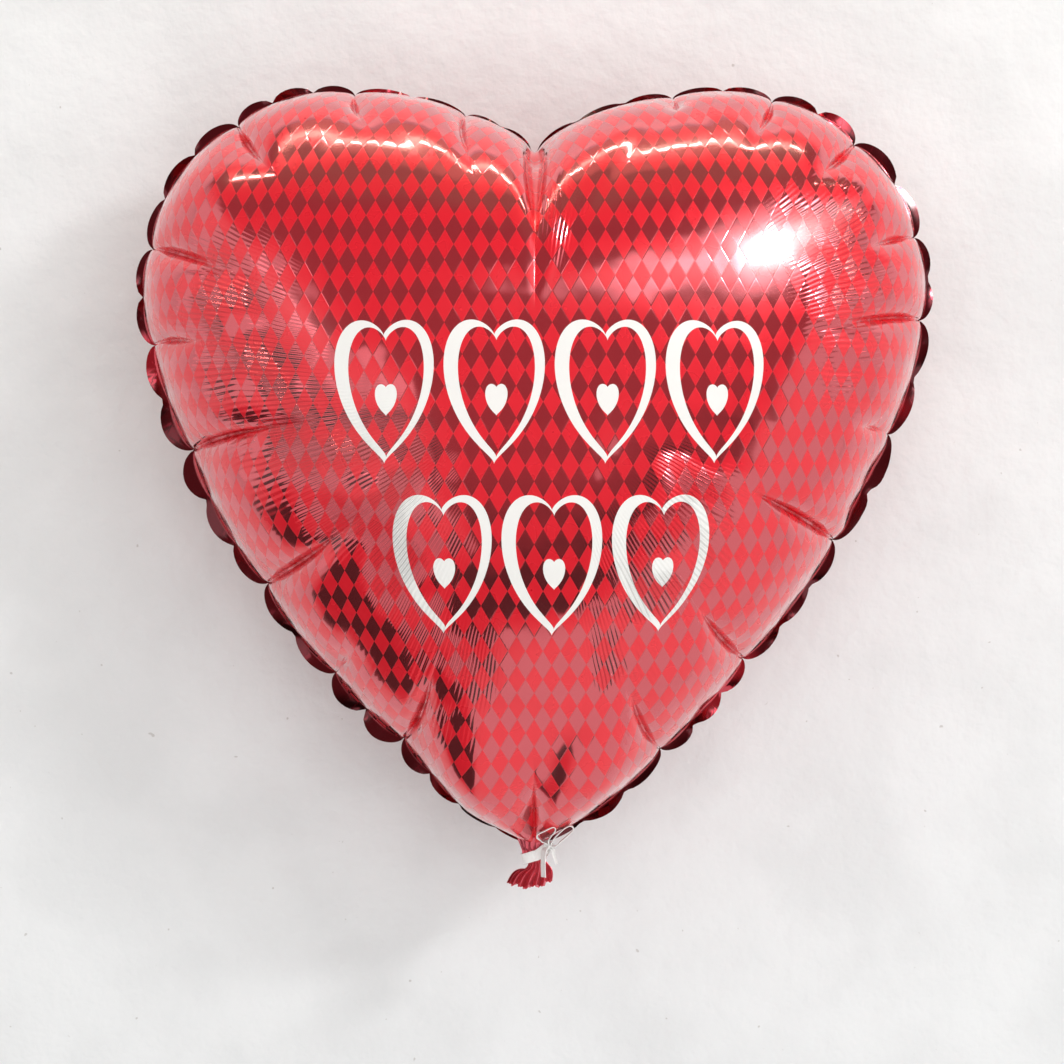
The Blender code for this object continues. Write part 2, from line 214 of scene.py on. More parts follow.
def piece_from_grid(name, grid, wrap=False, flip=False, uvs=None, pole=None, pole_uv=None):
    """A smooth-shaded mesh object on a grid of points, with a fan to a pole after its last row.

    uvs maps a layer's name to one (u, v) for each point; pole_uv gives them for the pole.
    """
    rows, columns = grid.shape[:2]
    points = grid.reshape(-1, 3)
    faces = grid_faces(rows, columns, wrap)
    loops = faces.ravel()
    sizes = np.full(len(faces), 4)
    if pole is not None:
        points = np.vstack([points, [pole]])
        ring = (rows - 1) * columns + np.arange(columns)
        fan = np.stack([ring, np.roll(ring, -1), np.full(columns, rows * columns)], 1)
        loops = np.concatenate([loops, fan.ravel()])
        sizes = np.concatenate([sizes, np.full(columns, 3)])
    mesh = bpy.data.meshes.new(name)
    mesh.vertices.add(len(points))
    mesh.vertices.foreach_set("co", points.astype(np.float32).ravel())
    mesh.loops.add(len(loops))
    mesh.loops.foreach_set("vertex_index", loops.astype(np.int32))
    mesh.polygons.add(len(sizes))
    mesh.polygons.foreach_set("loop_start", (np.cumsum(sizes) - sizes).astype(np.int32))
    mesh.update(calc_edges=True)
    for layer, flat in (uvs or {}).items():
        flat = flat.reshape(-1, 2)
        if pole is not None:
            flat = np.vstack([flat, [pole_uv[layer]]])
        mesh.uv_layers.new(name=layer).data.foreach_set("uv", flat[loops].astype(np.float32).ravel())
    if flip:
        mesh.flip_normals()
    mesh.shade_smooth()
    return add_object(name, mesh)


def point_values(piece, name, values):
    """A named value for each point, which materials read."""
    layer = piece.data.attributes.new(name, "FLOAT", "POINT")
    layer.data.foreach_set("value", values.astype(np.float32).ravel())


def solidify(piece, thickness):
    """Gives a sheet its thickness, half to each side."""
    wall = piece.modifiers.new("wall", "SOLIDIFY")
    wall.thickness = thickness
    wall.offset = 0


# The heart's outline

def arc(centre, radius, start, stop, steps=400):
    """Points along a circular arc from one angle to another."""
    turn = np.linspace(start, stop, steps)
    return np.stack([centre[0] + radius * np.cos(turn), centre[1] + radius * np.sin(turn)], 1)


def side_arc_centre():
    """Centre of the side arc: it passes the tip and touches the lobe arc."""
    lobe = Vector((LOBE_X, HEIGHT - LOBE_RADIUS))
    far = lobe.length
    inner = SIDE_ARC_RADIUS - LOBE_RADIUS
    along = (SIDE_ARC_RADIUS ** 2 - inner ** 2 + far ** 2) / (2 * far)
    aside = math.sqrt(SIDE_ARC_RADIUS ** 2 - along ** 2)
    way = lobe / far
    return way * along + Vector((-way.y, way.x)) * aside


def rim():
    """Fine loop of points (x, z) round the heart's outline, from the tip up the +X side."""
    side = side_arc_centre()
    lobe = Vector((LOBE_X, HEIGHT - LOBE_RADIUS))
    meet = math.atan2(lobe.y - side.y, lobe.x - side.x)
    notch_centre = (LOBE_X, HEIGHT - NOTCH_ARC_RADIUS)
    half = np.concatenate([
        arc(side, SIDE_ARC_RADIUS, math.atan2(-side.y, -side.x), meet),
        arc(lobe, LOBE_RADIUS, meet, math.pi / 2)[1:],
        arc(notch_centre, NOTCH_ARC_RADIUS, math.pi / 2, math.acos(-LOBE_X / NOTCH_ARC_RADIUS))[1:],
    ])
    return np.concatenate([half, half[::-1][1:] * (-1, 1)]) + (0, TIP_Z)


def along_rim(places, offset, loop):
    """Points at places 0 to 1 round a loop, moved straight inwards by an offset."""
    run = np.concatenate([[0], np.cumsum(np.linalg.norm(np.diff(loop, axis=0), axis=1))])
    step = 0.0015

    def at(place):
        where = np.mod(place, 1) * run[-1]
        return np.stack([np.interp(where, run, loop[:, k]) for k in (0, 1)], -1)

    here = at(places)
    ahead = at(places + step) - at(places - step)
    ahead /= np.linalg.norm(ahead, axis=-1, keepdims=True)
    inward = np.stack([-ahead[..., 1], ahead[..., 0]], -1)
    return here + inward * np.asarray(offset)[..., None], inward, run[-1]


def smooth_step(low, high, value):
    """0 below low, 1 above high, and 3t ** 2 - 2t ** 3 between."""
    share = np.clip((value - low) / (high - low), 0, 1)
    return share * share * (3 - 2 * share)


def soft_rim(spread):
    """The rim with its corners rounded: even points, blurred by a bell curve of the given spread."""
    count = 2400
    loop = rim()
    even = along_rim(np.arange(count) / count, np.zeros(count), loop)[0]
    distance = np.minimum(np.arange(count), count - np.arange(count)) / count
    bell = np.exp(-(distance / spread) ** 2 / 2)
    share = np.fft.fft(bell / bell.sum())[:, None]
    soft = np.real(np.fft.ifft(np.fft.fft(even, axis=0) * share, axis=0))
    return np.vstack([soft, soft[:1]])


# Folds

def column_places():
    """Places of the grid's columns round the rim, four times as close at the folds."""
    edges = [fold[0] for fold in FOLDS] + [1.0]
    runs = []
    for low, high in zip(edges[:-1], edges[1:]):
        count = max(10, round((high - low) * COLUMNS))
        even = np.arange(count) / count
        eased = even - 0.72 * np.sin(2 * math.pi * even) / (2 * math.pi)
        runs.append(low + (high - low) * eased)
    return np.concatenate(runs)


def short_way(columns, place):
    """Distance round the rim from a place to each column, the short way, from 0 to 0.5."""
    off = np.abs(columns - place)
    return np.minimum(off, 1 - off)


def scallops(gap, length):
    """How many small waves the weld has between two folds."""
    return np.maximum(1, np.round(gap * length / SCALLOP))


def fold_fields(columns):
    """For each column: its share of the way between two folds, the distance between them, how far
    the folds reach in, how they lean, and the number of the fold before it."""
    folds = np.array(FOLDS)
    places = np.append(folds[:, 0], 1.0)
    index = np.searchsorted(places, columns, side="right") - 1
    gap = places[index + 1] - places[index]
    share = (columns - places[index]) / gap
    blend = smooth_step(0, 1, share)
    after = (index + 1) % len(folds)
    reach = folds[index, 2] * (1 - blend) + folds[after, 2] * blend
    slope = (folds[:, 1] - folds[:, 0]) / (1 - folds[:, 2])
    lean = slope[index] * (1 - blend) + slope[after] * blend
    return share, gap, reach, lean, index


def fold_relief(columns, shares, length):
    """How far each point of the film stands out from the plain blown-up form.

    Between two folds it puffs out as 1 - |2t - 1| ** power, which leaves a sharp valley at each
    fold. The fold itself is a narrow groove in a wider valley, and fades at its inner end. Short
    dents at the rim follow the small waves of the weld. Beside the tip the film has a soft bump.
    """
    share, gap, reach, _, _ = fold_fields(columns)
    inset = 1 - shares
    crest = 1 - np.abs(2 * share - 1) ** PUFF_POWER
    fade = 1 - smooth_step(0.45, 1.35, inset / (1 - reach)[None, :])
    relief = PUFF * (gap * length)[None, :] * (crest[None, :] - 0.55) * fade
    for place, _, inner, depth in FOLDS:
        off = short_way(columns, place)[None, :] * length * (0.25 + 0.75 * shares)
        run = 1 - smooth_step(0.30, 1.0, inset / (1 - inner))
        relief -= 1.3 * depth * np.exp(-off / GROOVE_WIDTH) * run
        relief -= 0.40 * depth * np.exp(-(off / VALLEY_WIDTH) ** 2) * run
    waves = scallops(gap, length)
    dent = 1 - np.abs(np.sin(math.pi * waves * share)) ** 0.5
    relief -= DENT_DEPTH * dent[None, :] * np.exp(-(inset * RIM_TO_MIDDLE / DENT_REACH) ** 2)
    relief *= 0.30 + 0.70 * smooth_step(0.0, 0.05, inset)
    to_tip = np.minimum(columns, 1 - columns)[None, :]
    bump = np.exp(-((to_tip - 0.032) / 0.024) ** 2) + 0.20 * np.exp(-(to_tip / 0.010) ** 2)
    return relief + TIP_BUMP * bump * np.exp(-((inset - 0.05) / 0.07) ** 2)


def seam_lobes(columns, length):
    """How wide the weld shows: long flat scallops between puckers, pinched shut at each fold."""
    share, gap, _, _, index = fold_fields(columns)
    waves = scallops(gap, length)
    lobe = np.abs(np.sin(math.pi * waves * share)) ** 0.55
    number = np.floor(waves * share)
    uneven = 0.78 + 0.22 * np.sin(7.3 * number + 2.1 * index)
    shows = np.interp(columns, *np.array(WELD_SHOWS).T)
    return SEAM_WIDTH * 1.32 * (0.10 + 0.90 * lobe) * uneven * shows + 0.0002


def seam_wave(columns, length):
    """The weld buckles to the front and back in turn, one way for each scallop."""
    share, gap, _, _, index = fold_fields(columns)
    waves = scallops(gap, length)
    return WELD_WAVE * np.sin(math.pi * waves * share + index) * np.sin(math.pi * share)


# Film panels

def film_form(side):
    """Grid of points of one panel, from the weld's outer edge to the middle of the bulge.

    A ring at share s of the way out lies on contours that go from the weld's outline (s = 1) to
    a circle (s = 0), at depth sqrt(1 - s ** power), less near the tip, which tapers to the tie as
    0.004 + 0.6 d + 25 d ** 2 at a distance d from it. Folds and puffs then move each point along
    the surface's normal. Flat film coordinates run from the middle: the direction of the
    column, and the length of film along it.
    """
    columns = column_places()
    _, _, _, lean, _ = fold_fields(columns)
    turn = np.linspace(0, math.pi / 2, RINGS + 1)[:-1]
    shares = np.cos(turn)[:, None]
    places = columns[None, :] + lean[None, :] * 0.12 * (1 - np.exp(-(1 - shares) / 0.12))
    to_tip = np.minimum(columns, 1 - columns)
    offset = SEAM_WIDTH * np.minimum(np.interp(columns, *np.array(WELD_SHOWS).T), 1)
    hard, _, length = along_rim(places, np.broadcast_to(offset, places.shape), rim())
    soft, _, _ = along_rim(places, np.full(places.shape, SEAM_WIDTH), soft_rim(0.016))
    softer, _, _ = along_rim(places, np.full(places.shape, SEAM_WIDTH), soft_rim(0.045))
    near_tip = np.exp(-(to_tip / 0.10) ** 2)
    soften = smooth_step(0, 1, (1 - shares) / (0.90 - 0.72 * near_tip)[None, :])[..., None]
    near_tip = near_tip[None, :, None]
    weld = hard * (1 - soften) + (soft * (1 - near_tip) + softer * near_tip) * soften
    centre = np.array([0.0, MIDDLE_Z])
    spoke = weld - centre
    contour = np.linalg.norm(spoke, axis=2)
    way = spoke / contour[..., None]
    out = shares * ((1 - shares) * MIDDLE_RADIUS + shares * contour)
    depth = HALF_DEPTH * np.sqrt(1 - shares ** SECTION_POWER) * np.ones_like(out)
    from_tip = np.hypot(way[..., 0] * out, centre[1] + way[..., 1] * out - TIP_Z)
    taper = 0.004 + 0.6 * from_tip + 25 * from_tip ** 2
    depth = depth / (1 + (depth / taper) ** 4) ** 0.25
    plain = np.stack([way[..., 0] * out, side * depth, centre[1] + way[..., 1] * out], 2)

    down = np.gradient(plain, axis=0)
    across = np.roll(plain, -1, axis=1) - np.roll(plain, 1, axis=1)
    normal = np.cross(across, down) * side
    normal /= np.linalg.norm(normal, axis=2, keepdims=True) + 1e-12
    normal *= np.sign(np.sum(normal * (plain - (0, 0, MIDDLE_Z)), axis=2, keepdims=True))
    film = plain + normal * fold_relief(columns, shares, length)[..., None]
    film[0, :, 1] = 0

    steps = np.linalg.norm(np.diff(plain, axis=0), axis=2)
    middle = np.array([0, side * HALF_DEPTH, MIDDLE_Z])
    first = np.linalg.norm(plain[-1] - middle, axis=1)
    film_run = np.vstack([np.cumsum(steps[::-1], axis=0)[::-1] + first, first[None, :]])
    flat = way * film_run[..., None]

    width = seam_lobes(columns, length)
    wave = seam_wave(columns, length)
    _, inward, _ = along_rim(columns, np.zeros(len(columns)), rim())
    seam = []
    seam_flat = []
    for step in np.linspace(1, 0, SEAM_RINGS + 1)[:-1]:
        x = film[0, :, 0] - inward[:, 0] * width * step
        z = film[0, :, 2] - inward[:, 1] * width * step
        seam.append(np.stack([x, wave * step + side * 0.00012, z], 1))
        seam_flat.append(flat[0] * (1 + SEAM_WIDTH * step / film_run[0])[:, None])
    points = np.concatenate([np.array(seam), film])
    flat = np.concatenate([np.array(seam_flat), flat])
    inset = np.concatenate([np.zeros((SEAM_RINGS, len(columns))), (1 - shares) * np.ones_like(out)])
    fold = np.stack([np.broadcast_to(columns * length, points.shape[:2]), inset], 2)
    return points, flat, fold, middle


def ripple_strength(fold, columns):
    """Strength of the fine ripples: a bell-shaped patch for each entry of RIPPLES."""
    shares = 1 - fold[..., 1]
    total = np.zeros(shares.shape)
    for place, spread, out, out_spread, strength in RIPPLES:
        off = short_way(columns, place)
        total += strength * np.exp(-(off / spread) ** 2 - ((shares - out) / out_spread) ** 2)
    return np.clip(total, 0, 1)


def film_panel(name, node, side, look):
    """One panel of the body: the grid of film_form, with its ripples and weld marked."""
    points, flat, fold, middle = film_form(side)
    made = piece_from_grid(name, points, wrap=True, flip=side > 0, uvs={"film": flat, "fold": fold},
                           pole=middle, pole_uv={"film": (0, 0), "fold": (0, 1)})
    columns = np.broadcast_to(column_places(), points.shape[:2])
    ripple = ripple_strength(fold, columns)
    point_values(made, "ripple", np.append(ripple.ravel(), 0))
    weld = np.zeros(points.shape[:2])
    weld[:SEAM_RINGS] = 1
    point_values(made, "weld", np.append(weld.ravel(), 0))
    made.data.materials.append(look)
    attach(made, "envelope")
    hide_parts(node)
    return made


# Neck and tail

def tie_frame():
    """The tie's own frame: it leans over the Y axis as the hinge does."""
    return Matrix.Rotation(TIE_TILT, 4, "Y")


def placed(points, matrix):
    """Points moved by a 4 x 4 matrix."""
    turn = np.array(matrix)
    return points @ turn[:3, :3].T + turn[:3, 3]


def neck_film(look):
    """Both films gathered into the tie: an oval that narrows to the ribbon, with pleats.

    Radius = plain oval times 1 - depth * (1 - |sin(pleats * angle)| ** 0.8), the depth growing
    downwards.
    """
    turn = np.arange(240) / 240 * 2 * math.pi
    down = np.linspace(0, 1, 40)[:, None]
    narrow = smooth_step(0, 0.55, down)
    wide = NECK_TOP_HALF_WIDTH * (1 - narrow) + NECK_HALF_WIDTH * 0.97 * narrow
    deep = NECK_TOP_HALF_DEPTH * (1 - narrow) + NECK_HALF_DEPTH * 0.97 * narrow
    bend = 0.35 * np.sin(2 * turn) + 0.25 * np.sin(3 * turn + 1)
    pleat = np.abs(np.sin(NECK_PLEATS * turn + bend)) ** 0.8
    draw = 1 - (0.04 + 0.20 * smooth_step(0, 0.7, down)) * (1 - pleat)[None, :]
    x = wide * np.cos(turn) * draw
    y = deep * np.sin(turn) * draw
    z = NECK_TOP - NECK_LENGTH * down + 0 * x
    upright = np.stack([x, y, z], 2)
    leaning = placed(upright, tie_frame())
    share = smooth_step(0.1, 0.75, down)[..., None]
    grid = upright * (1 - share) + leaning * share
    uv = np.stack([np.broadcast_to(turn * 0.006, x.shape), z], 2)
    made = piece_from_grid("neck_film", grid, wrap=True, flip=True, uvs={"film": uv, "fold": uv})
    made.data.materials.append(look)
    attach(made, "envelope")
    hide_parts("neck")
    return made


def tail_film(name, node, side, look):
    """One film's loose end: pleats that swell out of the tie like a skirt, to a ragged edge.

    Each line of film starts in one direction and turns steadily to another on its way down.
    Each pleat is a triangle wave; both films share it, so that one nests in the other.
    A stem runs straight up from the skirt, narrowed to sit inside the neck.
    """
    rows, stem_rows = 40, 10
    across = np.linspace(0, 1, 181)[None, :]
    stem = np.concatenate([np.linspace(1, 0, stem_rows, endpoint=False), np.zeros(rows)])[:, None]
    down = np.concatenate([np.zeros(stem_rows), np.linspace(0, 1, rows)])[:, None]
    lean_out = TAIL_LEANS_OUT[0] + (TAIL_LEANS_OUT[1] - TAIL_LEANS_OUT[0]) * across
    lean_end = TAIL_LEANS_END[0] + (TAIL_LEANS_END[1] - TAIL_LEANS_END[0]) * across
    lean = lean_out + (lean_end - lean_out) * smooth_step(0, 0.9, down)
    length = TAIL_LENGTHS[0] + (TAIL_LENGTHS[1] - TAIL_LENGTHS[0]) * across
    ragged = (1 + 0.05 * np.sin(19 * across) + 0.035 * np.sin(47 * across + 1)
              + 0.02 * np.sin(101 * across))
    step = length * ragged / rows * np.where(down < 0.12, 0.0, 1.0)
    rise = TAIL_ROOT_RADIUS * 0.9 * (1 - smooth_step(0, 0.2, down)) + TAIL_STEM * stem
    pinch = 1 - TAIL_PINCH * smooth_step(0.0004, 0.0024, rise)
    root_x = TAIL_ROOT_HALF_WIDTH * 0.92 * (2 * across - 1) * pinch
    x = root_x - np.cumsum(step * np.sin(lean), axis=0)
    z = rise - np.cumsum(step * np.cos(lean), axis=0)
    phase = TAIL_PLEATS * across ** 0.7 + 0.10 * np.sin(9 * across)
    zigzag = 2 * np.abs(2 * (phase - np.floor(phase + 0.5))) - 1
    size = 0.0004 + 0.0019 * smooth_step(0, 1, down) * (1 - 0.35 * across)
    curl = 0.0009 * np.sin(5 * across + 3 * down) * down
    y = side * TAIL_FILM_APART / 2 + zigzag * size + curl + 0 * x
    grid = placed(np.stack([x, y, z], 2), Matrix.Translation(TAIL_HINGE) @ tie_frame())
    flat = np.stack([across * 0.060 + 0 * x, TAIL_STEM * stem - down * 0.018 + 0 * x], 2)
    made = piece_from_grid(name, grid, flip=side > 0, uvs={"film": flat, "fold": flat})
    made.data.materials.append(look)
    solidify(made, TAIL_FILM_THICKNESS)
    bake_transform(made)
    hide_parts(node)
    return made


# Ribbon

def smooth_route(points, step):
    """Even steps along a smooth curve through the points (uniform Catmull-Rom)."""
    points = np.asarray(points)
    padded = np.vstack([2 * points[0] - points[1], points, 2 * points[-1] - points[-2]])
    t = np.linspace(0, 1, 12, endpoint=False)[:, None, None]
    a, b, c, d = (padded[k:len(padded) - 3 + k][None] for k in range(4))
    fine = 0.5 * (2 * b + (c - a) * t + (2 * a - 5 * b + 4 * c - d) * t ** 2
                  + (3 * b - a - 3 * c + d) * t ** 3)
    fine = np.vstack([fine.transpose(1, 0, 2).reshape(-1, points.shape[1]), points[-1:]])
    run = np.concatenate([[0], np.cumsum(np.linalg.norm(np.diff(fine[:, :3], axis=0), axis=1))])
    count = int(run[-1] / step) + 1
    even = np.linspace(0, run[-1], count)
    return np.stack([np.interp(even, run, fine[:, k]) for k in range(points.shape[1])], 1), run[-1]


def ribbon_route():
    """The whole ribbon: long end, round the neck, left loop, right loop, short end.

    Each row is a point of its middle line and the direction of its width there.
    """
    tie = np.array(tie_frame())[:3, :3]
    turn = np.linspace(-0.75, -0.75 - 2 * math.pi, 15)[1:-1]
    oval = np.stack([(NECK_HALF_WIDTH + RIBBON_CLEARANCE) * np.cos(turn),
                     (NECK_HALF_DEPTH + RIBBON_CLEARANCE) * np.sin(turn),
                     0.0004 * np.cos(turn)], 1) @ tie.T

    def leg(points, width, origin=KNOT):
        """Route points from an origin, all with one width direction."""
        points = np.asarray(points) + origin
        return np.hstack([points, np.broadcast_to(np.asarray(width, float), points.shape)])

    through = (0.0, -0.0006, 0.0)
    parts = [
        leg(END_LONG[::-1], (0.40, -0.92, 0.0)), leg([through], (0.5, -0.4, 0.6)),
        leg(oval, tie[:, 2], np.zeros(3)), leg([(0.0004, 0.0, 0.0004)], (0.0, 0.5, 0.8)),
        leg(LOOP_LEFT, (0, 1, 0)), leg([(0.0006, -0.0008, 0.0)], (0, 1, 0)),
        leg(LOOP_RIGHT, (0, 1, 0)), leg([(0.0008, -0.0004, -0.0004)], (0.5, 0.8, 0)),
        leg(END_SHORT, (0.25, 0.97, 0)),
    ]
    return np.vstack(parts)


def ribbon(look):
    """One flat ribbon: a slightly cupped strip carried along its route."""
    line, length = smooth_route(ribbon_route(), 0.0005)
    middle, width = line[:, :3], line[:, 3:]
    along = np.gradient(middle, axis=0)
    along /= np.linalg.norm(along, axis=1, keepdims=True)
    width = width - along * np.sum(width * along, axis=1, keepdims=True)
    width /= np.linalg.norm(width, axis=1, keepdims=True)
    face = np.cross(along, width)
    side = np.linspace(-1, 1, 13)[None, :, None]
    cup = RIBBON_CUP * (1 - side ** 2)
    grid = middle[:, None] + width[:, None] * side * RIBBON_WIDTH / 2 + face[:, None] * cup
    across = np.broadcast_to(side[..., 0] * RIBBON_WIDTH / 2, grid.shape[:2])
    down = np.broadcast_to(np.linspace(0, length, len(middle))[:, None], grid.shape[:2])
    made = piece_from_grid("ribbon_strip", grid, uvs={"film": np.stack([across, down], 2)})
    made.data.materials.append(look)
    solidify(made, RIBBON_THICKNESS)
    return made, middle, length


def ribbon_knot(look):
    """The knot: a flattened ball whose surface is pulled into slanting turns of ribbon.

    Radius = 0.90 + 0.15 * |sin of a slanted angle| ** 0.7, less a waist round the middle.
    """
    up = np.linspace(0, math.pi, 50)[1:-1][:, None]
    turn = (np.arange(72) / 72 * 2 * math.pi)[None, :]
    wrap = np.abs(np.sin(1.5 * turn + 2.2 * up))
    size = 0.90 + 0.15 * wrap ** 0.7 - 0.10 * np.exp(-((up - 1.5) / 0.25) ** 2)
    x = KNOT_HALF_SIZES[0] * size * np.sin(up) * np.cos(turn)
    y = KNOT_HALF_SIZES[1] * size * np.sin(up) * np.sin(turn)
    z = KNOT_HALF_SIZES[2] * size * np.cos(up) + 0 * turn
    grid = np.stack([x, y, z], 2) + KNOT
    top, bottom = grid[0].mean(axis=0), grid[-1].mean(axis=0)
    closed = np.concatenate([np.broadcast_to(top, (1,) + grid[0].shape), grid])
    uv = np.stack([turn * 0.0024 + 0 * up, up * 0.002 + 0 * turn], 2)
    uv = np.concatenate([uv[:1], uv])
    made = piece_from_grid("ribbon_knot_turns", closed, wrap=True, uvs={"film": uv},
                           pole=bottom, pole_uv={"film": (0, 0)}, flip=True)
    made.data.materials.append(look)
    return made


# Materials: small helpers that read as sums

class Sums:
    """Builds arithmetic nodes in a material's node tree."""

    def __init__(self, tree):
        self.tree = tree

    def add(self, kind, **settings):
        made = self.tree.nodes.new(kind)
        for key, value in settings.items():
            setattr(made, key, value)
        return made

    def link(self, source, target):
        self.tree.links.new(source, target)

    def feed(self, socket, value):
        if isinstance(value, bpy.types.NodeSocket):
            self.link(value, socket)
        else:
            socket.default_value = value

    def math(self, operation, *values):
        made = self.add("ShaderNodeMath", operation=operation)
        for socket, value in zip(made.inputs, values):
            self.feed(socket, value)
        return made.outputs[0]

    def step(self, value, low, high, start=0.0, stop=1.0):
        made = self.add("ShaderNodeMapRange", interpolation_type="SMOOTHSTEP")
        for name, given in (("Value", value), ("From Min", low), ("From Max", high),
                            ("To Min", start), ("To Max", stop)):
            self.feed(made.inputs[name], given)
        return made.outputs[0]

    def colour(self, share, first, second):
        made = self.add("ShaderNodeMix", data_type="RGBA")
        self.feed(made.inputs["Factor"], share)
        self.feed(made.inputs["A"], first if isinstance(first, bpy.types.NodeSocket) else (*first, 1))
        self.feed(made.inputs["B"], second if isinstance(second, bpy.types.NodeSocket) else (*second, 1))
        return made.outputs["Result"]

    def uv(self, layer):
        made = self.add("ShaderNodeUVMap", uv_map=layer)
        split = self.add("ShaderNodeSeparateXYZ")
        self.link(made.outputs[0], split.inputs[0])
        return made.outputs[0], split.outputs["X"], split.outputs["Y"]

    def noise(self, vector, scale, detail=2.0):
        made = self.add("ShaderNodeTexNoise")
        made.inputs["Scale"].default_value = scale
        made.inputs["Detail"].default_value = detail
        self.link(vector, made.inputs["Vector"])
        return made.outputs["Fac"]

    def point_value(self, name):
        return self.add("ShaderNodeAttribute", attribute_name=name).outputs["Fac"]

    def relief(self, height, shader):
        """Gives the shader a surface relief, from a height in metres."""
        made = self.add("ShaderNodeBump")
        made.inputs["Distance"].default_value = 1.0
        self.link(height, made.inputs["Height"])
        self.link(made.outputs[0], shader.inputs["Normal"])


def new_material(name):
    """A material, the helper for its nodes, and its shader."""
    made = bpy.data.materials.new(name)
    made.use_nodes = True
    return made, Sums(made.node_tree), made.node_tree.nodes["Principled BSDF"]


def diamonds(sums, x, y):
    """Slanted checks: 1 on every second diamond, and the distances to the rising and falling edges."""
    over = sums.math("DIVIDE", x, DIAMOND_WIDTH)
    up = sums.math("DIVIDE", y, DIAMOND_HEIGHT)
    rise = sums.math("ADD", over, up)
    fall = sums.math("SUBTRACT", over, up)
    cell = sums.math("ADD", sums.math("FLOOR", rise), sums.math("FLOOR", fall))
    check = sums.math("MULTIPLY", sums.math("FRACT", sums.math("MULTIPLY", cell, 0.5)), 2.0)
    edge_a = sums.math("PINGPONG", rise, 0.5)
    edge_b = sums.math("PINGPONG", fall, 0.5)
    return check, edge_a, edge_b


def inside_heart(sums, x, y, half_width, half_height):
    """1 inside the heart (p ** 2 + q ** 2 - 1) ** 3 < p ** 2 * q ** 3, else 0."""
    p = sums.math("DIVIDE", x, half_width)
    q = sums.math("DIVIDE", y, half_height)
    p2 = sums.math("MULTIPLY", p, p)
    q2 = sums.math("MULTIPLY", q, q)
    body = sums.math("SUBTRACT", sums.math("ADD", p2, q2), 1.0)
    cube = sums.math("MULTIPLY", sums.math("MULTIPLY", body, body), body)
    lobes = sums.math("MULTIPLY", p2, sums.math("MULTIPLY", q2, q))
    return sums.math("LESS_THAN", cube, lobes)


def heart_motif(sums, x, y):
    """Two rows of open hearts, drawn with a line of uneven width, and a small heart in each."""
    middle = (UPPER_ROW[1] + LOWER_ROW[1]) / 2
    upper = sums.math("GREATER_THAN", y, middle)
    lower = sums.math("SUBTRACT", 1.0, upper)
    span = {}
    for key, index in (("x", 0), ("y", 1), ("n", 2)):
        span[key] = sums.math("ADD", sums.math("MULTIPLY", upper, float(UPPER_ROW[index])),
                              sums.math("MULTIPLY", lower, float(LOWER_ROW[index])))
    local_y = sums.math("SUBTRACT", y, span["y"])
    off = sums.math("SUBTRACT", x, span["x"])
    half_run = sums.math("MULTIPLY", span["n"], MOTIF_PITCH / 2)
    in_row = sums.math("LESS_THAN", sums.math("ABSOLUTE", off), half_run)
    local_x = sums.math("SUBTRACT", sums.math("WRAP", sums.math("ADD", off, half_run), MOTIF_PITCH, 0.0),
                        MOTIF_PITCH / 2)
    outer = inside_heart(sums, local_x, local_y, MOTIF_HALF_WIDTH, MOTIF_HALF_HEIGHT)
    shifted_x = sums.math("SUBTRACT", local_x, 0.0010)
    shifted_y = sums.math("SUBTRACT", local_y, 0.0002)
    inner = inside_heart(sums, shifted_x, shifted_y, MOTIF_HALF_WIDTH * 0.76, MOTIF_HALF_HEIGHT * 0.905)
    centre = inside_heart(sums, shifted_x, sums.math("ADD", local_y, 0.001), MOTIF_HALF_WIDTH * 0.22,
                          MOTIF_HALF_HEIGHT * 0.22)
    ring = sums.math("MULTIPLY", outer, sums.math("SUBTRACT", 1.0, inner))
    return sums.math("MULTIPLY", sums.math("MAXIMUM", ring, centre), in_row)


def film_relief(sums, vector, x, ripple, edge):
    """Height in metres: ripples across the folds, slight buckles, and the embossed diamonds."""
    wobble = sums.noise(vector, 34.0, 1.0)
    phase = sums.math("ADD", sums.math("DIVIDE", x, RIPPLE_PITCH), sums.math("MULTIPLY", wobble, 1.8))
    wave = sums.math("SINE", sums.math("MULTIPLY", phase, 2 * math.pi))
    patch = sums.step(sums.noise(vector, 40.0, 1.0), 0.36, 0.56, 0.15, 1.0)
    height = sums.math("MULTIPLY", sums.math("MULTIPLY", wave, patch),
                       sums.math("MULTIPLY", ripple, RIPPLE_HEIGHT))
    buckle = sums.math("MULTIPLY", sums.noise(vector, 22.0, 2.0), 0.0016)
    height = sums.math("ADD", height, buckle)
    return sums.math("ADD", height, sums.step(edge, 0.0, 0.06, 0.0, 0.000022))


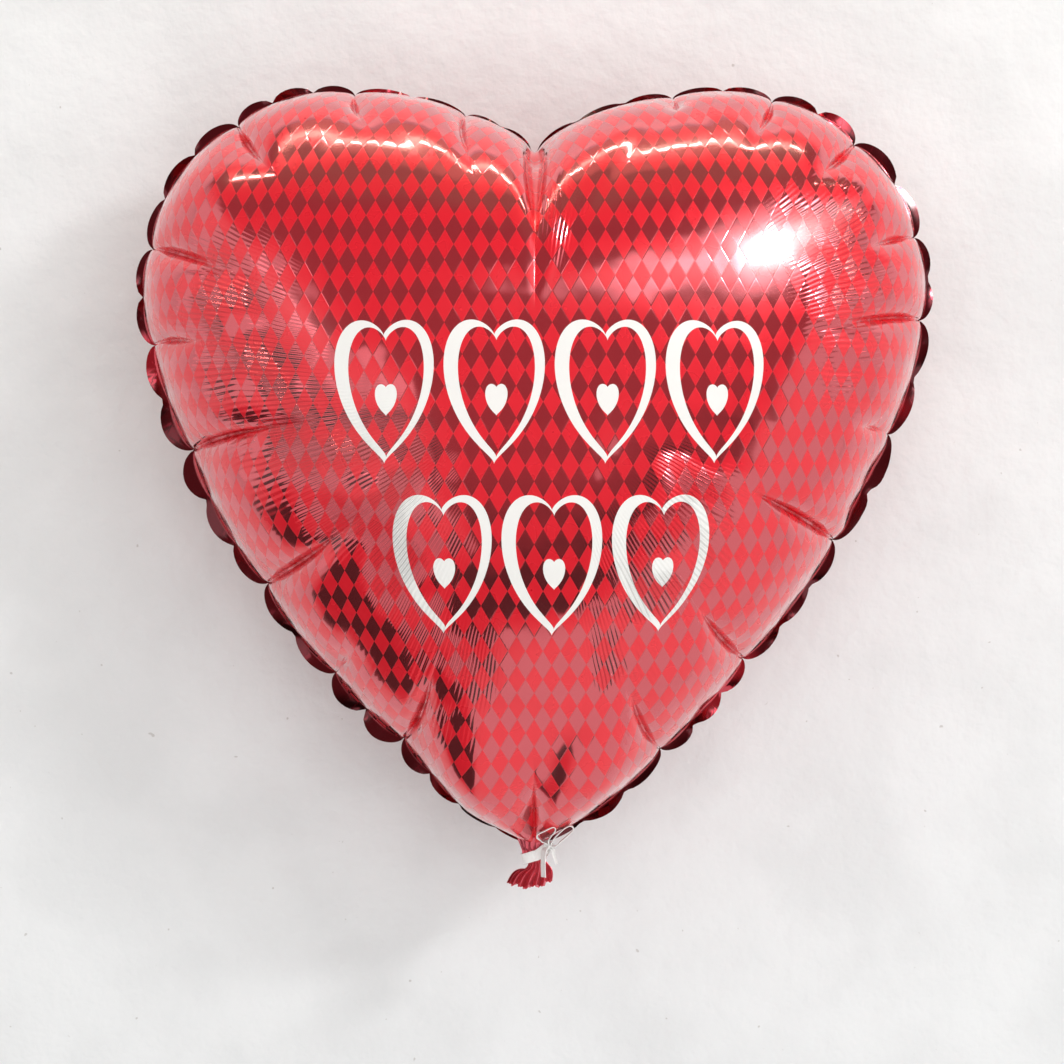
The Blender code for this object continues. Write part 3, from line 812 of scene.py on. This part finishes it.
def printed_film():
    """Front film: red and rose mirror diamonds, with white open hearts over them."""
    look, sums, shader = new_material("printed_red_film")
    vector, x, y = sums.uv("film")
    check, edge_a, edge_b = diamonds(sums, x, y)
    edge = sums.math("MINIMUM", edge_a, edge_b)
    weld = sums.point_value("weld")
    satin = sums.math("MULTIPLY", check, sums.math("SUBTRACT", 1.0, weld))
    motif = heart_motif(sums, x, y)
    tone = sums.noise(vector, 45.0, 3.0)
    red = sums.colour(tone, (0.85, 0.013, 0.028), (0.76, 0.006, 0.020))
    rose = sums.colour(tone, (0.76, 0.135, 0.160), (0.70, 0.110, 0.132))
    film = sums.colour(satin, rose, red)
    # Painted shade: the falling edges of the embossed diamonds are painted a duller, darker red.
    line = sums.step(edge_b, 0.0, 0.05, 0.55, 0.0)
    film = sums.colour(line, film, (0.62, 0.07, 0.08))
    rim_vector, around_rim, _ = sums.uv("fold")
    # Painted reflection on the weld: it is painted nearly black for the dark room it mirrors, with
    # random patches painted bright red where it would catch brighter things.
    lit = sums.step(sums.noise(rim_vector, 13.0, 1.0), 0.58, 0.64)
    film = sums.colour(weld, film, sums.colour(lit, (0.13, 0.005, 0.012), (0.62, 0.05, 0.08)))
    film = sums.colour(motif, film, (0.84, 0.83, 0.80))
    sums.link(film, shader.inputs["Base Color"])
    bare = sums.math("SUBTRACT", 1.0, motif)
    mirror = sums.math("MULTIPLY_ADD", weld, 0.08, 0.92)
    mirror = sums.math("SUBTRACT", mirror, sums.math("MULTIPLY", satin, 0.66))
    metal = sums.math("MULTIPLY", bare, mirror)
    sums.link(metal, shader.inputs["Metallic"])
    sheen = sums.math("ADD", sums.math("MULTIPLY", satin, 0.20), sums.math("MULTIPLY", motif, 0.30))
    rough = sums.math("ADD", sheen, sums.math("MULTIPLY_ADD", tone, 0.05, 0.05))
    sums.link(rough, shader.inputs["Roughness"])
    shader.inputs["Coat Weight"].default_value = 1.0
    shader.inputs["Coat Roughness"].default_value = 0.16
    sums.relief(film_relief(sums, vector, around_rim, sums.point_value("ripple"), edge), shader)
    return look


def plain_film(name, bright, deep, mirror):
    """Unprinted film: one red mirror with slight buckles and scuffs."""
    look, sums, shader = new_material(name)
    vector, _, _ = sums.uv("film")
    _, around_rim, _ = sums.uv("fold")
    tone = sums.noise(vector, 60.0, 3.0)
    sums.link(sums.colour(tone, bright, deep), shader.inputs["Base Color"])
    shader.inputs["Metallic"].default_value = mirror
    scuff = sums.step(sums.noise(vector, 400.0, 4.0), 0.55, 0.80, 0.0, 0.12)
    sums.link(sums.math("ADD", scuff, 0.10), shader.inputs["Roughness"])
    sums.relief(film_relief(sums, vector, around_rim, sums.point_value("ripple"), 1.0), shader)
    return look


def ribbon_film():
    """White curling ribbon: satin, with fine ribs along its length."""
    look, sums, shader = new_material("white_curling_ribbon")
    vector, across, _ = sums.uv("film")
    rib = sums.math("SINE", sums.math("MULTIPLY", across, 2 * math.pi / RIB_PITCH))
    tone = sums.noise(vector, 300.0, 3.0)
    # Painted shade: the colour follows the ribs, slightly darker in their grooves, over a random tone.
    shade = sums.math("MULTIPLY_ADD", rib, 0.12, tone)
    sums.link(sums.colour(shade, (0.80, 0.79, 0.77), (0.90, 0.89, 0.88)), shader.inputs["Base Color"])
    sums.link(sums.math("MULTIPLY_ADD", tone, 0.15, 0.26), shader.inputs["Roughness"])
    sums.relief(sums.math("MULTIPLY", rib, 0.00002), shader)
    return look


def valve_film():
    """Clear plastic film with a milky haze and weld lines across it."""
    look, sums, shader = new_material("valve_film")
    place = sums.add("ShaderNodeTexCoord")
    split = sums.add("ShaderNodeSeparateXYZ")
    sums.link(place.outputs["Object"], split.inputs[0])
    haze = sums.noise(place.outputs["Object"], 180.0, 3.0)
    weld = sums.step(sums.math("PINGPONG", split.outputs["Z"], 0.010), 0.0, 0.0012, 1.0, 0.0)
    tint = sums.colour(haze, (0.78, 0.79, 0.81), (0.88, 0.88, 0.89))
    sums.link(sums.colour(weld, tint, (0.60, 0.62, 0.66)), shader.inputs["Base Color"])
    sums.link(sums.math("MULTIPLY_ADD", haze, 0.2, 0.2), shader.inputs["Roughness"])
    return look


# Stage and light

def one_sided(sums, shader, tree):
    """Lets the view through from behind, so that the stage never hides the balloon."""
    output = tree.nodes["Material Output"]
    clear = sums.add("ShaderNodeBsdfTransparent")
    which = sums.add("ShaderNodeNewGeometry")
    mix = sums.add("ShaderNodeMixShader")
    sums.link(which.outputs["Backfacing"], mix.inputs[0])
    sums.link(shader.outputs[0], mix.inputs[1])
    sums.link(clear.outputs[0], mix.inputs[2])
    sums.link(mix.outputs[0], output.inputs["Surface"])


def stage_plane(name, corners, tint):
    """A flat rectangle of painted plaster, seen from its front only."""
    mesh = bpy.data.meshes.new(name)
    mesh.from_pydata(corners, [], [(0, 1, 2, 3)])
    made = add_object(name, mesh)
    look, sums, shader = new_material(name)
    place = sums.add("ShaderNodeTexCoord")
    mottle = sums.noise(place.outputs["Object"], 14.0, 8.0)
    deeper = tuple(0.93 * part for part in tint)
    paint = sums.colour(sums.step(mottle, 0.35, 0.65), tint, deeper)
    speck = sums.step(sums.noise(place.outputs["Object"], 260.0, 1.0), 0.795, 0.83, 0.0, 0.5)
    sums.link(sums.colour(speck, paint, (0.42, 0.39, 0.36)), shader.inputs["Base Color"])
    grain = sums.noise(place.outputs["Object"], 90.0, 6.0)
    sums.relief(sums.math("MULTIPLY", grain, 0.0012), shader)
    shader.inputs["Roughness"].default_value = 0.9
    one_sided(sums, shader, look.node_tree)
    mesh.materials.append(look)
    return made


def area_light(name, place, aim, size, power, tint=(1, 1, 1)):
    """A rectangular lamp that points from its place to its aim."""
    data = bpy.data.lights.new(name, "AREA")
    data.shape = "RECTANGLE"
    data.size, data.size_y = size
    data.energy = power
    data.color = tint
    made = add_object(name, data)
    made.location = place
    made.rotation_euler = (Vector(aim) - Vector(place)).to_track_quat("-Z", "Y").to_euler()
    return made


def soft_patch(sums, x, z, place, lean, half_length, half_width):
    """1 inside a slanted soft-edged rectangle of the sky, else 0."""
    over = sums.math("SUBTRACT", x, place[0])
    up = sums.math("SUBTRACT", z, place[1])
    cos, sin = math.cos(lean), math.sin(lean)
    along = sums.math("ADD", sums.math("MULTIPLY", over, cos), sums.math("MULTIPLY", up, sin))
    aside = sums.math("SUBTRACT", sums.math("MULTIPLY", up, cos), sums.math("MULTIPLY", over, sin))
    long_way = sums.step(sums.math("ABSOLUTE", along), half_length * 0.8, half_length * 1.1, 1.0, 0.0)
    wide_way = sums.step(sums.math("ABSOLUTE", aside), half_width * 0.5, half_width * 1.2, 1.0, 0.0)
    return sums.math("MULTIPLY", long_way, wide_way)


def glow(sums, x, z, place, lean, length, width):
    """A slanted patch of the sky that fades smoothly, as exp(-(along/length)^2 - (aside/width)^2)."""
    over = sums.math("SUBTRACT", x, place[0])
    up = sums.math("SUBTRACT", z, place[1])
    cos, sin = math.cos(lean) / length, math.sin(lean) / length
    along = sums.math("ADD", sums.math("MULTIPLY", over, cos), sums.math("MULTIPLY", up, sin))
    cos, sin = math.cos(lean) / width, math.sin(lean) / width
    aside = sums.math("SUBTRACT", sums.math("MULTIPLY", up, cos), sums.math("MULTIPLY", over, sin))
    far = sums.math("ADD", sums.math("MULTIPLY", along, along), sums.math("MULTIPLY", aside, aside))
    return sums.math("EXPONENT", sums.math("MULTIPLY", far, -1.0))


def brightest(sums, *values):
    """The largest of the values."""
    total = values[0]
    for value in values[1:]:
        total = sums.math("MAXIMUM", total, value)
    return total


def half_plane(sums, x, z, across, up, edge, blur):
    """1 where across * x + up * z passes the edge, else 0."""
    value = sums.math("ADD", sums.math("MULTIPLY", x, across), sums.math("MULTIPLY", z, up))
    return sums.step(value, edge - blur, edge + blur)


def room_light():
    """Even pale light all round; mirrors show a dim room with pale walls, windows and floor."""
    world = bpy.data.worlds.new("studio")
    bpy.context.scene.world = world
    world.use_nodes = True
    sums = Sums(world.node_tree)
    way = sums.add("ShaderNodeTexCoord")
    split = sums.add("ShaderNodeSeparateXYZ")
    sums.link(way.outputs["Generated"], split.inputs[0])
    x, y, z = split.outputs
    right = half_plane(sums, x, z, 0.944, -0.329, 0.715, 0.025)
    low_right = half_plane(sums, x, z, 0.530, -0.848, 0.600, 0.025)
    floor = sums.math("MULTIPLY", half_plane(sums, x, z, 0.0, -1.0, 0.60, 0.02),
                      half_plane(sums, x, z, 0.895, -0.446, 0.107, 0.02))
    left = half_plane(sums, x, z, -1.0, 0.12, 0.82, 0.07)
    side_wall = sums.math("MULTIPLY", half_plane(sums, x, z, -0.827, -0.562, 0.33, 0.05),
                          half_plane(sums, x, z, 0.0, 1.0, -0.36, 0.07))
    above = half_plane(sums, x, z, 0.0, 1.0, 0.88, 0.04)
    behind = sums.step(y, 0.0, 0.35)
    pale = sums.math("MULTIPLY", brightest(sums, right, low_right, floor), 0.83)
    pale = brightest(sums, pale, sums.math("MULTIPLY", left, 0.74), sums.math("MULTIPLY", above, 0.72),
                     sums.math("MULTIPLY", side_wall, 0.88),
                     sums.math("MULTIPLY", behind, 0.85))
    window = soft_patch(sums, x, z, (-0.625, 0.169), -0.73, 0.18, 0.05)
    second = soft_patch(sums, x, z, (-0.315, -0.027), -0.75, 0.10, 0.07)
    third = soft_patch(sums, x, z, (0.150, -0.077), -1.10, 0.05, 0.03)
    streak = glow(sums, x, z, (0.38, 0.36), 0.21, 0.32, 0.085)
    halo = glow(sums, x, z, (0.56, 0.41), 0.35, 0.24, 0.17)
    core = glow(sums, x, z, (0.61, 0.43), 0.50, 0.14, 0.060)
    pale = brightest(sums, pale, sums.math("MULTIPLY", window, 1.9), sums.math("MULTIPLY", second, 1.15),
                     sums.math("MULTIPLY", third, 0.85), sums.math("MULTIPLY", streak, 3.4),
                     sums.math("MULTIPLY", halo, 2.4), sums.math("MULTIPLY", core, 34.0))
    dim = sums.step(z, -0.44, -0.06, 0.05, 0.36)
    total = sums.math("MAXIMUM", pale, dim)
    tint = sums.colour(sums.step(total, 0.36, 0.80), (1.0, 0.25, 0.30), (1.0, 0.94, 0.93))
    warm = sums.math("MULTIPLY", sums.step(z, 0.60, 0.82), sums.step(y, 0.3, -0.1))
    tint = sums.colour(warm, tint, (1.0, 0.74, 0.56))
    rays = sums.add("ShaderNodeLightPath")
    mirrored = rays.outputs["Is Glossy Ray"]
    background = world.node_tree.nodes["Background"]
    sums.link(sums.colour(mirrored, (1.0, 0.995, 0.99), tint), background.inputs["Color"])
    unmirrored = sums.math("SUBTRACT", 1.0, mirrored)
    even = sums.math("MULTIPLY", unmirrored, sums.step(z, -0.8, 0.6, 0.58, 0.64))
    strength = sums.math("ADD", even, sums.math("MULTIPLY", total, mirrored))
    sums.link(strength, background.inputs["Strength"])


def stage():
    """Wall behind the balloon, floor far below, lamp, strip light, and soft light from the front."""
    wall_y = CAD_HIGH[1] + 0.007
    floor_z = -0.62
    stage_plane("wall", [(-2.2, wall_y, floor_z), (2.2, wall_y, floor_z), (2.2, wall_y, 1.8),
                         (-2.2, wall_y, 1.8)], (0.80, 0.81, 0.815))
    floor = stage_plane("floor", [(-2.2, -1.6, floor_z), (2.2, -1.6, floor_z), (2.2, wall_y, floor_z),
                                  (-2.2, wall_y, floor_z)], (0.84, 0.83, 0.82))
    floor.visible_glossy = False
    area_light("key", (1.05, -1.25, 0.93), (0, 0, 0.18), (0.34, 0.15), 7.5)
    area_light("strip", (0.0, -0.22, 1.25), (0, 0, 0.2), (1.7, 0.028), 4.5, (1.0, 0.90, 0.72))
    fill = area_light("fill", (0.35, -2.6, 0.2), (0, 0, 0.15), (2.6, 2.0), 26, (0.96, 0.99, 1.0))
    fill.visible_glossy = False
    room_light()


camera()
stage()
PRINTED = printed_film()
PLAIN = plain_film("plain_red_film", (0.70, 0.030, 0.050), (0.56, 0.018, 0.036), 1.0)
# Painted reflection: the same red foil, painted paler and pinker and made less of a mirror where it is
# gathered, for the pale room its crumples reflect.
GATHERED = plain_film("gathered_film", (0.86, 0.220, 0.270), (0.66, 0.050, 0.080), 0.72)
WHITE = ribbon_film()
front_film = film_panel("front_film", "front_panel", -1, PRINTED)
back_film = film_panel("back_film", "back_panel", 1, PLAIN)
neck = neck_film(GATHERED)
tail_front = tail_film("tail_front_film", "tail_front", -1, GATHERED)
tail_back = tail_film("tail_back_film", "tail_back", 1, GATHERED)
knot = ribbon_knot(WHITE)
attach(knot, "envelope")
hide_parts("ribbon_knot")
strip, strip_path, strip_length = ribbon(WHITE)
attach(strip, "envelope")
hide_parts("ribbon_band", "ribbon_loop_left", "ribbon_loop_right", "ribbon_end_long",
            "ribbon_end_short")

VALVE = valve_film()
for ply in ("valve_front_ply", "valve_back_ply"):
    frame["nodes"][ply].data.materials.clear()
    frame["nodes"][ply].data.materials.append(VALVE)

bpy.context.scene.view_settings.view_transform = "Standard"
